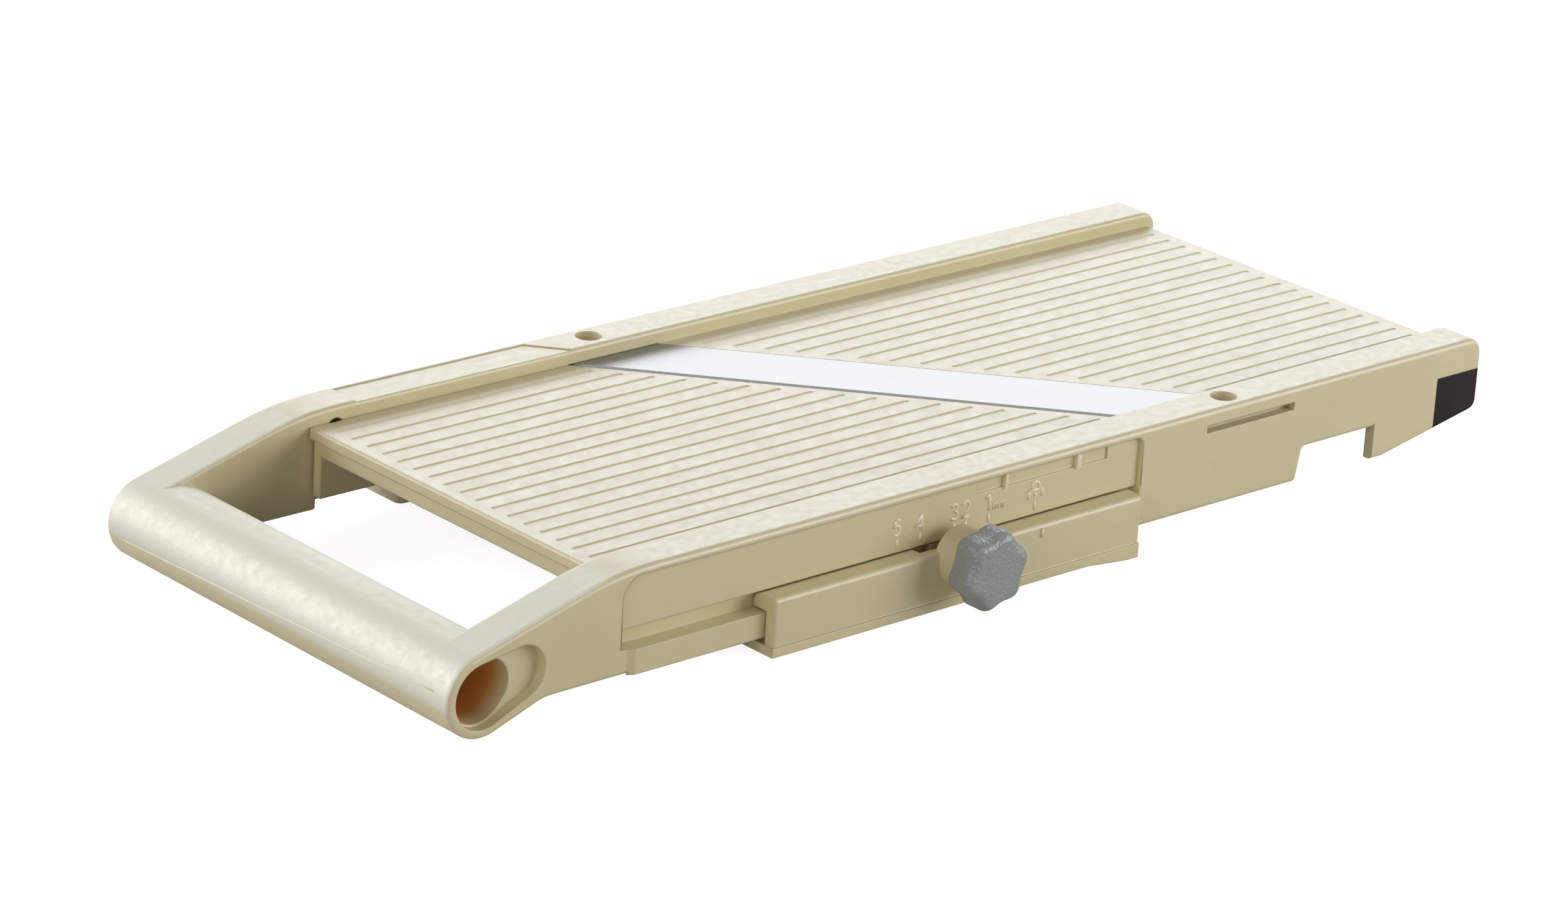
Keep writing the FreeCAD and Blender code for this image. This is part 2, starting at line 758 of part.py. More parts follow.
def feed_ramp():
    """The fluted ramp with its apron, guide lugs and the two slotted arms."""
    cutting_edge = "-blade_width / 2 - ramp_edge_gap"
    slab_corners = [
        ("-ramp_back", f"-{RAMP_SIDE}"),
        (blade_line(f"-{RAMP_SIDE}", cutting_edge), f"-{RAMP_SIDE}"),
        (blade_line(RAMP_SIDE, cutting_edge), RAMP_SIDE),
        ("-ramp_back", RAMP_SIDE),
    ]
    slab = pad("ramp_slab", "XY_Plane", slab_corners, RAMP_LOW, BED_TOP)
    back, top = value("-ramp_back"), value(BED_TOP)
    rounded(slab, lambda spot, size: close(spot.x, back) and close(spot.z, top), "ramp_round")
    margin = value("-ramp_back + flute_margin")
    front_edge = "-blade_width / 2 - flute_blade_margin"
    flutes = flute_cutters("ramp_flutes", lambda y: (margin, value(blade_line(str(y), front_edge))))
    apron = box(
        "ramp_apron",
        ("-ramp_back + apron_setback", "-ramp_back + apron_setback + apron_thick"),
        (f"-{ARM_OUTER}", ARM_OUTER),
        (f"{RAMP_LOW} - apron_height", RAMP_LOW),
    )
    arm_low = "pin_height - pin_outer / 2 - pin_clear - arm_margin"
    near_arm = box(
        "near_arm",
        ("-ramp_back + apron_setback", f"-{PIN_FRONT} + arm_end"),
        (f"-{ARM_OUTER}", f"-{ARM_INNER}"),
        (arm_low, f"{RAMP_LOW} - arm_drop"),
    )
    hanger_front = blade_line(ARM_OUTER, cutting_edge)
    near_hanger = box(
        "near_hanger",
        ("-ramp_back + apron_setback", hanger_front),
        (f"-{ARM_OUTER}", f"-{ARM_INNER}"),
        (f"{RAMP_LOW} - arm_drop", RAMP_LOW),
    )
    near_lug = box(
        "near_lug",
        (f"-{GUIDE} - guide_width / 2 + lug_clear", f"-{GUIDE} + guide_width / 2 - lug_clear"),
        (f"-{SKIRT_BACK} + lug_clear", f"-{ARM_INNER}"),
        (f"{RAMP_LOW} - lug_height", RAMP_LOW),
    )
    far = [mirrored(f"far_{item.Name[5:]}", item) for item in (near_arm, near_hanger, near_lug)]
    body = fuse("ramp_blank", slab, apron, near_arm, near_hanger, near_lug, *far)
    reach = f"({ARM_OUTER} + 1)"
    slots = [
        arm_slot("rear", PIN_REAR, f"-{reach}", reach),
        arm_slot("front", PIN_FRONT, f"-{reach}", reach),
    ]
    return finish(cut("ramp_cut", body, flutes, *slots), "feed_ramp")


def pin_cylinder(name, side, place, start, end, radius):
    """A lift pin's axis across the slicer on one side, between two distances from the middle."""
    low, high = (start, end) if side > 0 else (f"-({end})", f"-({start})")
    return cylinder(name, (f"-{place}", high, "pin_height"), radius, f"({high}) - ({low})", "near")


def fixing_places():
    """Places along the slicer of the screws that hold a block on the base."""
    return [f"-{CARRIAGE_FRONT} - fixing_margin - {number} * fixing_spacing" for number in range(FIXINGS)]


def fixing_cylinder(name, side, place, radius, low, high):
    """An upright cylinder on the axis of a block screw."""
    base = (place, f"{side} * ({BLOCK_FACE} - fixing_inset)", low)
    return cylinder(name, base, radius, f"({high}) - ({low})")


def carriage_base():
    """The plate under the frame with its feet, runners and pin uprights."""
    front = f"-{CARRIAGE_FRONT}"
    near_back = f"-{CARRIAGE_BACK}"
    far_back = f"-{CARRIAGE_BACK} - far_lead"
    bridge_front = f"-{CARRIAGE_BACK} + bridge_length"
    plate_corners = [
        (near_back, f"-{BLOCK_FACE}"),
        (front, f"-{BLOCK_FACE}"),
        (front, f"-{STRIP_INNER}"),
        (bridge_front, f"-{STRIP_INNER}"),
        (bridge_front, STRIP_INNER),
        (front, STRIP_INNER),
        (front, BLOCK_FACE),
        (far_back, BLOCK_FACE),
        (far_back, STRIP_INNER),
        (near_back, STRIP_INNER),
    ]
    plate = pad("base_plate", "XY_Plane", plate_corners, "foot_drop", BASE_TOP)
    for place in (3, 4, 7, 8):
        rounded(plate, corner_at(*plate_corners[place], axes="xy"), "base_round")
    foot_corners = [
        (f"{front} - foot_land", "0"),
        (front, "0"),
        (front, "foot_drop"),
        (f"{front} - foot_land - foot_slope", "foot_drop"),
    ]
    near_foot = pad("near_foot", "XZ_Plane", foot_corners, f"-{BLOCK_FACE}", f"-{STRIP_INNER}")
    runner_outer = f"{HALF} - runner_inset"
    near_runner = box(
        "near_runner",
        (f"{near_back} + runner_setback", f"{front} - runner_setback"),
        (f"-({runner_outer})", f"-({runner_outer}) + runner_width"),
        (BASE_TOP, "stand_height - slide_clear"),
    )
    near_upright = box(
        "near_upright",
        (f"-{PIN_REAR} - pin_outer / 2 - upright_margin", f"-{PIN_FRONT} + pin_outer / 2 + upright_margin"),
        (f"-{UPRIGHT_OUTER}", f"-{UPRIGHT_INNER}"),
        (BASE_TOP, "pin_height + pin_outer / 2 + upright_margin"),
    )
    far = [mirrored(f"far_{item.Name[5:]}", item) for item in (near_foot, near_runner, near_upright)]
    body = fuse("base_blank", plate, near_foot, near_runner, near_upright, *far)
    tools = []
    for side, word in SIDES:
        for row, place in (("rear", PIN_REAR), ("front", PIN_FRONT)):
            radius = "pin_outer / 2 + pin_press"
            name = f"{word}_{row}_pin_bore"
            tools.append(pin_cylinder(name, side, place, UPRIGHT_INNER, UPRIGHT_OUTER, radius))
        for number, place in enumerate(fixing_places()):
            sunk = "foot_drop + fixing_head_height"
            radius = "fixing_shank / 2 + fixing_clear"
            name = f"{word}_shank_hole_{number}"
            tools.append(fixing_cylinder(name, side, place, radius, sunk, f"{BASE_TOP} + 1"))
            radius = "fixing_head / 2 + fixing_clear"
            name = f"{word}_head_hole_{number}"
            tools.append(fixing_cylinder(name, side, place, radius, "-1", sunk))
    return finish(cut("base_cut", body, *tools), "carriage_base")


def lift_pins():
    """The four steel pins that carry the ramp."""
    for side, word in SIDES:
        for row, place in (("rear", PIN_REAR), ("front", PIN_FRONT)):
            inner = f"{ARM_INNER} - pin_reach"
            pin = pin_cylinder(f"{word}_{row}_pin", side, place, inner, UPRIGHT_OUTER, "pin_outer / 2")
            finish(pin, f"{word}_{row}_lift_pin")


def block_section(name):
    """A slider block on the near side: an outer wall with a hook that runs in the track."""
    hook_low = f"{FLANGE_TOP} + slide_clear"
    hook_face = f"-{TRACK_FACE} - slide_clear"
    corners = [
        (f"-{BLOCK_FACE}", BASE_TOP),
        (f"-{BLOCK_BACK}", BASE_TOP),
        (f"-{BLOCK_BACK}", hook_low),
        (hook_face, hook_low),
        (hook_face, BLOCK_TOP),
        (f"-{BLOCK_FACE}", BLOCK_TOP),
    ]
    body = pad(name, "YZ_Plane", corners, f"-{CARRIAGE_BACK}", f"-{CARRIAGE_FRONT}")
    rounded(body, corner_at(*corners[4], axes="yz"), "hook_round")
    outer, low = -value(BLOCK_FACE), value(BASE_TOP)

    def rim(middle, bounds):
        return close(middle.y, outer) and bounds.YLength < 0.01 and middle.z > low + 0.1

    rounded(body, rim, "block_round")
    return body


def fixing_pilots(side, word):
    """Pilot holes of the block screws."""
    top = f"{BASE_TOP} + fixing_length"
    return [
        fixing_cylinder(f"{word}_pilot_{number}", side, place, "fixing_shank / 2", f"{BASE_TOP} - 1", top)
        for number, place in enumerate(fixing_places())
    ]


def clamp_cylinder(name, start, end, radius):
    """A cylinder on the clamp's axis between two distances from the middle plane."""
    base = (f"-{KNOB}", f"-({start})", CLAMP_HEIGHT)
    return cylinder(name, base, radius, f"({end}) - ({start})", "near")


def near_slider_block():
    """The near block with the round boss of the clamp and the gap in its hook."""
    section = block_section("near_block_section")
    gap = box(
        "hook_opening",
        (f"-{KNOB} - hook_gap", f"-{KNOB} + hook_gap"),
        (f"-{BLOCK_BACK}", f"-{TRACK_FACE}"),
        (FLANGE_TOP, PANEL_LOW),
    )
    boss_back = f"({BLOCK_BACK} + boss_setback)"
    boss = clamp_cylinder("clamp_boss", boss_back, BOSS_FACE, "boss_radius")
    bore = clamp_cylinder("clamp_boss_bore", f"{BLOCK_BACK} - 1", f"{BOSS_FACE} + 1", "clamp_sleeve / 2")
    body = fuse("near_block_blank", cut("near_block_gap", section, gap), boss)
    return finish(cut("near_block_cut", body, bore, *fixing_pilots(-1, "near")), "near_slider_block")


def far_slider_block():
    """The far block, without a clamp."""
    far = mirrored("far_block_section", block_section("far_block_blank"))
    return finish(cut("far_block_cut", far, *fixing_pilots(1, "far")), "far_slider_block")


def slider_screws(side, word):
    """The screws that hold one block on the base, as one group."""
    screws = []
    for number, place in enumerate(fixing_places()):
        seat = "foot_drop + fixing_head_height"
        end = f"{BASE_TOP} + fixing_length - fixing_clear"
        name = f"{word}_fixing_head_{number}"
        head = fixing_cylinder(name, side, place, "fixing_head / 2", "foot_drop", seat)
        name = f"{word}_fixing_shank_{number}"
        shank = fixing_cylinder(name, side, place, "fixing_shank / 2", seat, end)
        screws.append(fuse(f"{word}_fixing_{number}", head, shank))
    group = doc.addObject("Part::Compound", f"{word}_fixings")
    group.Links = screws
    finish(group, f"{word}_slider_screws")


def clamp():
    """Insert, shoe, stud and knob on the clamp's axis."""
    sleeve_end = f"{BOSS_FACE} - sleeve_setback"
    sleeve = clamp_cylinder("sleeve_blank", BLOCK_BACK, sleeve_end, "clamp_sleeve / 2")
    radius = "stud_outer / 2 + stud_clear"
    thread = clamp_cylinder("sleeve_thread", f"{BLOCK_BACK} - 1", f"{sleeve_end} + 1", radius)
    finish(cut("sleeve_cut", sleeve, thread), "clamp_insert")

    plate = box(
        "shoe_plate",
        (f"-{KNOB} - shoe_length / 2", f"-{KNOB} + shoe_length / 2"),
        (f"-{SHOE_BACK}", f"-{SHOE_FACE}"),
        (f"{FLANGE_TOP} + shoe_clear", f"{PANEL_LOW} - shoe_clear"),
    )
    tip_end = f"{SHOE_BACK} - stud_tip_length"
    radius = "stud_tip / 2 + stud_clear"
    socket = clamp_cylinder("shoe_socket", f"{tip_end} - stud_clear", f"{SHOE_BACK} + 1", radius)
    finish(cut("shoe_cut", plate, socket), "clamp_shoe")

    shoulder = f"{SHOE_BACK} + stud_clear"
    stud_end = f"{KNOB_BACK} + stud_embed"
    tip = clamp_cylinder("stud_tip_pin", tip_end, shoulder, "stud_tip / 2")
    shank = clamp_cylinder("stud_shank", shoulder, stud_end, "stud_outer / 2")
    finish(fuse("stud_body", tip, shank), "clamp_stud")

    blank = doc.addObject("Part::Feature", "knob_blank")
    blank.Shape = knob_shape()
    bore = clamp_cylinder("knob_bore", f"{KNOB_BACK} - 1", stud_end, "stud_outer / 2")
    finish(cut("knob_cut", blank, bore), "clamp_knob")


def knob_shape():
    """Lobed grip: a wavy outline round the clamp's axis, with its edges rounded."""
    radius, lobe, phase = value("knob_radius"), value("knob_lobe"), math.radians(value("knob_phase"))
    along, height = -value(KNOB), value(CLAMP_HEIGHT)
    back, length = -value(KNOB_BACK), value("knob_length")
    points = []
    steps = 8 * KNOB_LOBES
    for step in range(steps):
        turn = 2 * math.pi * step / steps
        reach = radius + lobe * math.cos(KNOB_LOBES * (turn - phase))
        points.append(FreeCAD.Vector(along + reach * math.sin(turn), back, height + reach * math.cos(turn)))
    curve = Part.BSplineCurve()
    curve.interpolate(Points=points, PeriodicFlag=True)
    face = Part.Face(Part.Wire(curve.toShape()))
    solid = face.extrude(FreeCAD.Vector(0, -length, 0))
    for place, size in ((back - length, "knob_round"), (back, "knob_back_round")):
        rim = [edge for edge in solid.Edges if close(edge.CenterOfMass.y, place)]
        solid = solid.makeFillet(value(size), rim)
    return solid


frame, side_solid = main_frame()
main_blade()
for side, word in SIDES:
    blade_fixing(side, word)
toe_pads(side_solid)
feed_ramp()
carriage_base()
lift_pins()
near_slider_block()
far_slider_block()
for side, word in SIDES:
    slider_screws(side, word)
clamp()
doc.recompute()

for item in doc.Objects:
    if "Invalid" in item.State or "Error" in item.State:
        raise RuntimeError(f"{item.Label} failed: {item.State}")
for item in PARTS:
    if item.Shape.isNull() or not item.Shape.isValid():
        raise RuntimeError(f"{item.Label} has no valid shape")

os.makedirs("parts", exist_ok=True)
for item in PARTS:
    item.Shape.exportStep(f"parts/{item.Label}.step")
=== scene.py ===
import math

import bmesh
import bpy
from mathutils import Matrix, Vector


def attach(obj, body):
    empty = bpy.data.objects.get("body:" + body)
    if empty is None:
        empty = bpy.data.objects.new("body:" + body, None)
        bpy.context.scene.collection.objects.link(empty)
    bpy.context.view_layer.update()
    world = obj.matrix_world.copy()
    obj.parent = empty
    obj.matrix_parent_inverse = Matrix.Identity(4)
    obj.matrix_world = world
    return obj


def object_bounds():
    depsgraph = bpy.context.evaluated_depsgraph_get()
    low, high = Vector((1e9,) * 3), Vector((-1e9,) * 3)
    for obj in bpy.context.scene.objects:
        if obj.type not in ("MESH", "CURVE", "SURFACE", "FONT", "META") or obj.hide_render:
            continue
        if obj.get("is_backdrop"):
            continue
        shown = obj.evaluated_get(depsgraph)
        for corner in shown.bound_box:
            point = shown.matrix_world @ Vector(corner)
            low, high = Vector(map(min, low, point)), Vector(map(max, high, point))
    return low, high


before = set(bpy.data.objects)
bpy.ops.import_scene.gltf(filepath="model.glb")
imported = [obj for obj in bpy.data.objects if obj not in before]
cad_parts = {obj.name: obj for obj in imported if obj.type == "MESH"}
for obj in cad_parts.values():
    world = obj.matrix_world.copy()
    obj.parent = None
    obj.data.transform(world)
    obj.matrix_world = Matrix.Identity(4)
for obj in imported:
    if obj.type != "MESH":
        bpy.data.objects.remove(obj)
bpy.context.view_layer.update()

scene = bpy.context.scene

MM = 0.001
NEAR = Vector((0, -1, 0))

# The frame's middle line lies off the origin by this much, because the knob sticks out on one side.
MIDDLE = 7.05 * MM
# Faces that look to the near side: the sunk panel of the frame and the front of the slider block.
PANEL = MIDDLE - 68.7 * MM
BLOCK_FACE = MIDDLE - 74.5 * MM
# The outer face of either side, as a distance from the middle line.
OUTER_FACE = 70.0 * MM

# The grip's axis and radius, in millimetres.
GRIP_X = -169.4
GRIP_Z = 11.0
GRIP_RADIUS = 11.0

# The middle of the bore that opens at both ends of the grip.
BORE_X = -168.2 * MM
BORE_Z = 11.6 * MM
# The bore's painted amber glow ends between these radii, and between these distances from the middle line.
BORE_WALL = (9.4 * MM, 9.9 * MM)
BORE_RIM = (60.0 * MM, 65.5 * MM)
# The grain of the handle and the sheen painted on with it are full before the first of these places along the
# frame and gone after the second.
GRAIN_ENDS = (-140.0 * MM, -124.0 * MM)

# Colours as they look on screen. A pair is the darker and the lighter end of a material's own drift.
IVORY = ((217, 205, 161), (221, 210, 168))
IVORY_SPECK = (203, 189, 140)
# The handle's skin painted paler where the grain lies: a painted sheen.
GRAIN_PAINTED_SHEEN = (216, 212, 191)
# Painted glow: the amber of light shining through the thin wall into the bore.
BORE_PAINTED_GLOW = (228, 152, 62)
# Marks painted paler than the plastic they stand on: a painted highlight.
RAISED_PAINTED_HIGHLIGHT = ((240, 231, 194), (244, 236, 202))
BLADE = ((140, 140, 138), (152, 152, 150))
FASTENER = ((176, 178, 180), (188, 190, 192))
BRASS = ((176, 138, 70), (206, 170, 98))
RUBBER = ((34, 26, 27), (44, 35, 35))
KNOB = ((150, 156, 151), (160, 166, 160))
# A darker brown for the shoe: painted shade where it shows in the narrow gap.
NYLON_PAINTED_SHADE = ((156, 132, 86), (168, 146, 98))

# The blade's brushed lines run along its cutting edge, at this angle in radians.
BLADE_TURN = -0.905
# Keeps the grazing reflections of steel below white.
STEEL_EDGE = (0.6, 0.6, 0.6, 1.0)
# How far red, green and blue light travels inside the ivory plastic, in metres.
IVORY_SCATTER = (0.0032, 0.0022, 0.0011)


def colour(red, green, blue):
    """A colour given as it looks on screen, 0 to 255, in the linear values that shaders take."""

    def linear(level):
        level /= 255
        return level / 12.92 if level <= 0.04045 else ((level + 0.055) / 1.055) ** 2.4

    return (linear(red), linear(green), linear(blue), 1.0)


class Nodes:
    """A cleared node tree with short ways to add nodes and join them."""

    def __init__(self, tree):
        self.tree = tree
        tree.nodes.clear()

    def node(self, kind, **values):
        made = self.tree.nodes.new(kind)
        for key, value in values.items():
            setattr(made, key, value)
        return made

    def link(self, source, target):
        self.tree.links.new(source, target)

    def put(self, socket, value):
        """Joins a socket to another one, or gives it a plain value."""
        if isinstance(value, bpy.types.NodeSocket):
            self.link(value, socket)
        else:
            socket.default_value = value

    def maths(self, how, a, b=0.0, c=0.0):
        made = self.node("ShaderNodeMath", operation=how)
        for socket, value in zip(made.inputs, (a, b, c)):
            self.put(socket, value)
        return made.outputs[0]

    def times(self, a, b):
        return self.maths("MULTIPLY", a, b)

    def mix(self, share, a, b):
        made = self.node("ShaderNodeMix", data_type="RGBA")
        self.put(made.inputs["Factor"], share)
        self.put(made.inputs["A"], a)
        self.put(made.inputs["B"], b)
        return made.outputs["Result"]


class Shader(Nodes):
    """One node material: a Principled shader and the textures and masks that feed it."""

    def __init__(self, name):
        self.material = bpy.data.materials.new(name)
        self.material.use_nodes = True
        super().__init__(self.material.node_tree)
        self.main = self.node("ShaderNodeBsdfPrincipled")
        self.link(self.main.outputs[0], self.node("ShaderNodeOutputMaterial").inputs["Surface"])
        self.place = self.node("ShaderNodeTexCoord").outputs["Object"]

    def set(self, **values):
        for key, value in values.items():
            self.put(self.main.inputs[key.replace("_", " ")], value)

    def noise(self, scale, detail=2.0, rough=0.5, place=None):
        made = self.node("ShaderNodeTexNoise")
        self.link(place or self.place, made.inputs["Vector"])
        made.inputs["Scale"].default_value = scale
        made.inputs["Detail"].default_value = detail
        made.inputs["Roughness"].default_value = rough
        return made.outputs["Fac"]

    def cells(self, scale, place=None):
        made = self.node("ShaderNodeTexVoronoi", feature="SMOOTH_F1")
        self.link(place or self.place, made.inputs["Vector"])
        made.inputs["Scale"].default_value = scale
        return made.outputs["Distance"]

    def warped(self, scale, reach):
        """The object's own place, pushed about by a noise."""
        ripple = self.node("ShaderNodeTexNoise")
        self.link(self.place, ripple.inputs["Vector"])
        ripple.inputs["Scale"].default_value = scale
        made = self.node("ShaderNodeVectorMath", operation="MULTIPLY_ADD")
        self.link(ripple.outputs["Color"], made.inputs[0])
        made.inputs[1].default_value = (reach, reach, reach)
        self.link(self.place, made.inputs[2])
        return made.outputs[0]

    def stretched(self, scale, turn=0.0):
        made = self.node("ShaderNodeMapping")
        self.link(self.place, made.inputs["Vector"])
        made.inputs["Scale"].default_value = scale
        made.inputs["Rotation"].default_value = (0.0, 0.0, turn)
        return made.outputs["Vector"]

    def axis(self, name, source=None):
        made = self.node("ShaderNodeSeparateXYZ")
        self.link(source or self.place, made.inputs[0])
        return made.outputs[name]

    def span(self, value, low, high, to_low=0.0, to_high=1.0):
        """A smooth step from one value to another while the input goes from low to high."""
        made = self.node("ShaderNodeMapRange", interpolation_type="SMOOTHSTEP")
        self.put(made.inputs["Value"], value)
        for key, level in (("From Min", low), ("From Max", high), ("To Min", to_low), ("To Max", to_high)):
            made.inputs[key].default_value = level
        return made.outputs[0]

    def fade(self, value, ends):
        """One before the first end, nothing after the second."""
        return self.span(value, *ends, 1.0, 0.0)

    def drift(self, share, pair):
        """The colour between a pair that a texture picks."""
        return self.mix(share, colour(*pair[0]), colour(*pair[1]))

    def bump(self, height, depth, strength=1.0, under=None):
        made = self.node("ShaderNodeBump")
        self.put(made.inputs["Height"], height)
        made.inputs["Distance"].default_value = depth
        self.put(made.inputs["Strength"], strength)
        if under is not None:
            self.link(under, made.inputs["Normal"])
        return made.outputs[0]

    def soft_edges(self, radius):
        made = self.node("ShaderNodeBevel", samples=4)
        made.inputs["Radius"].default_value = radius
        return made.outputs[0]


def ivory():
    """Ivory plastic with faint specks, a grain on the handle with a paler colour painted on it as a sheen,
    and an amber glow painted inside the bore.
    """
    s = Shader("ivory_plastic")
    off = s.maths("ABSOLUTE", s.maths("SUBTRACT", s.axis("Y"), MIDDLE))
    reach = s.maths("SUBTRACT", s.axis("X"), BORE_X)
    lift = s.maths("SUBTRACT", s.axis("Z"), BORE_Z)
    away = s.maths("SQRT", s.maths("ADD", s.times(reach, reach), s.times(lift, lift)))
    # Where the bore's painted amber glow lies.
    bore = s.times(s.fade(away, BORE_WALL), s.fade(off, BORE_RIM))

    # The grain, and the paler colour painted on with it as a sheen, cover the handle's upper and outer faces,
    # but neither its flat sides nor the bore.
    facing = s.node("ShaderNodeNewGeometry").outputs["Normal"]
    open_face = s.fade(s.maths("ABSOLUTE", s.axis("Y", facing)), (0.5, 0.8))
    upper = s.span(s.axis("Z", facing), -0.35, -0.05)
    outward = s.maths("ADD", s.times(s.axis("X", facing), reach), s.times(s.axis("Z", facing), lift))
    grain_and_sheen = s.times(s.fade(s.axis("X"), GRAIN_ENDS), s.times(open_face, upper))
    grain_and_sheen = s.times(grain_and_sheen, s.span(outward, 0.0, 4.0 * MM))

    speck = s.span(s.noise(2600), 0.35, 0.75)
    tint = s.drift(s.span(s.noise(18, 3), 0.3, 0.7), IVORY)
    tint = s.mix(s.times(speck, 0.1), tint, colour(*IVORY_SPECK))
    # Painted sheen: the handle's skin is painted a paler, whiter ivory where the grain lies.
    tint = s.mix(s.times(grain_and_sheen, 0.6), tint, colour(*GRAIN_PAINTED_SHEEN))
    # Painted glow: the inside of the bore is painted amber, for light shining through the wall.
    tint = s.mix(s.times(bore, 0.7), tint, colour(*BORE_PAINTED_GLOW))

    fine = s.bump(s.noise(3400, 2, 0.6), 0.03 * MM, 0.22, s.soft_edges(0.6 * MM))
    leather = s.cells(1700, s.warped(700, 0.5 * MM))
    rough = s.span(s.noise(420, 3), 0.25, 0.75, 0.36, 0.46)
    s.set(
        Base_Color=tint,
        Normal=s.bump(leather, 0.1 * MM, s.times(grain_and_sheen, 0.4), fine),
        Roughness=s.maths("ADD", rough, s.times(grain_and_sheen, 0.22)),
        Specular_IOR_Level=1.0,
        IOR=s.span(grain_and_sheen, 0.0, 1.0, 1.5, 2.3),
        Subsurface_Weight=0.06,
        Subsurface_Radius=IVORY_SCATTER,
        Subsurface_Scale=1.0,
    )
    return s.material


def painted_highlight_marks():
    """The same plastic where it is raised and polished, as on the scale, with its colour painted paler as a
    painted highlight.
    """
    s = Shader("painted_highlight_marks")
    flow = s.noise(240, 3)
    s.set(
        Base_Color=s.drift(s.span(flow, 0.3, 0.7), RAISED_PAINTED_HIGHLIGHT),
        Roughness=s.span(flow, 0.25, 0.75, 0.28, 0.36),
        Specular_IOR_Level=0.9,
        Normal=s.bump(s.noise(3400), 0.02 * MM, 0.2),
    )
    return s.material


def steel(name, roughness, turn, tones):
    """Steel with fine brushed lines."""
    s = Shader(name)
    lines = s.noise(1.0, 2, 0.6, s.stretched((60, 9000, 60), turn))
    s.set(
        Base_Color=s.drift(s.span(lines, 0.3, 0.7), tones),
        Metallic=1.0,
        Roughness=s.span(lines, 0.25, 0.75, roughness - 0.05, roughness + 0.05),
        Specular_Tint=STEEL_EDGE,
        Normal=s.bump(lines, 0.006 * MM, 0.35, s.soft_edges(0.2 * MM)),
    )
    return s.material


def brass():
    """Turned brass."""
    s = Shader("insert_brass")
    turned = s.noise(1.0, 2, 0.5, s.stretched((900, 900, 9000)))
    s.set(
        Base_Color=s.drift(turned, BRASS),
        Metallic=1.0,
        Roughness=s.span(turned, 0.2, 0.8, 0.25, 0.4),
        Normal=s.bump(turned, 0.01 * MM, 0.3),
    )
    return s.material


def rubber():
    """Dull black rubber with a fine skin."""
    s = Shader("pad_rubber")
    skin = s.noise(1900, 3, 0.6)
    s.set(
        Base_Color=s.drift(s.span(s.noise(60, 3), 0.3, 0.7), RUBBER),
        Roughness=s.span(skin, 0.2, 0.8, 0.62, 0.76),
        Specular_IOR_Level=0.2,
        Normal=s.bump(skin, 0.04 * MM, 0.4, s.soft_edges(0.4 * MM)),
    )
    return s.material


def knob_grey():
    """Grey plastic with the pitted skin of the knob."""
    s = Shader("knob_plastic")
    fine = s.bump(s.noise(4200), 0.03 * MM, 0.3, s.soft_edges(0.4 * MM))
    s.set(
        Base_Color=s.drift(s.span(s.noise(70), 0.3, 0.7), KNOB),
        Roughness=s.span(s.noise(1300), 0.3, 0.7, 0.2, 0.3),
        Normal=s.bump(s.cells(1400), 0.4 * MM, 0.6, fine),
    )
    return s.material


def shaded_nylon():
    """Nylon in a darker tan-brown: painted shade for the narrow gap it shows through."""
    s = Shader("shoe_nylon")
    flow = s.noise(300, 3)
    s.set(
        Base_Color=s.drift(flow, NYLON_PAINTED_SHADE),
        Roughness=s.span(flow, 0.2, 0.8, 0.4, 0.55),
        Normal=s.bump(s.noise(2400), 0.03 * MM, 0.3, s.soft_edges(0.2 * MM)),
    )
    return s.material


plastic = ivory()
highlight_marks = painted_highlight_marks()
fastener_steel = steel("fastener_steel", 0.3, 0.0, FASTENER)
insert_brass = brass()
pad_rubber = rubber()

# What each solid is made of. Screws, pins and the stud, which are not named here, are steel.
FINISH = {
    "main_frame": plastic,
    "feed_ramp": plastic,
    "carriage_base": plastic,
    "near_slider_block": plastic,
    "far_slider_block": plastic,
    "main_blade": steel("blade_steel", 0.27, BLADE_TURN, BLADE),
    "clamp_insert": insert_brass,
    "near_blade_insert": insert_brass,
    "far_blade_insert": insert_brass,
    "clamp_knob": knob_grey(),
    "clamp_shoe": shaded_nylon(),
    "near_toe_pad": pad_rubber,
    "far_toe_pad": pad_rubber,
}
for name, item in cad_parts.items():
    item.data.materials.clear()
    item.data.materials.append(FINISH.get(name, fastener_steel))


def add_piece(name, work, body, finish):
    """Turns worked faces into a piece, shaded smooth, that rides on a body of the part."""
    for face in work.faces:
        face.smooth = True
    mesh = bpy.data.meshes.new(name)
    work.to_mesh(mesh)
    work.free()
    mesh.materials.append(finish)
    item = bpy.data.objects.new(name, mesh)
    scene.collection.objects.link(item)
    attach(item, body)


# Steps round the half circle of a bead, and how deep its flat side lies in the face that carries it.
BEAD_STEPS = 6
BEAD_SINK = 0.12 * MM
# A power that makes the bead's shoulders fuller than a half circle.
BEAD_FULLNESS = 0.7


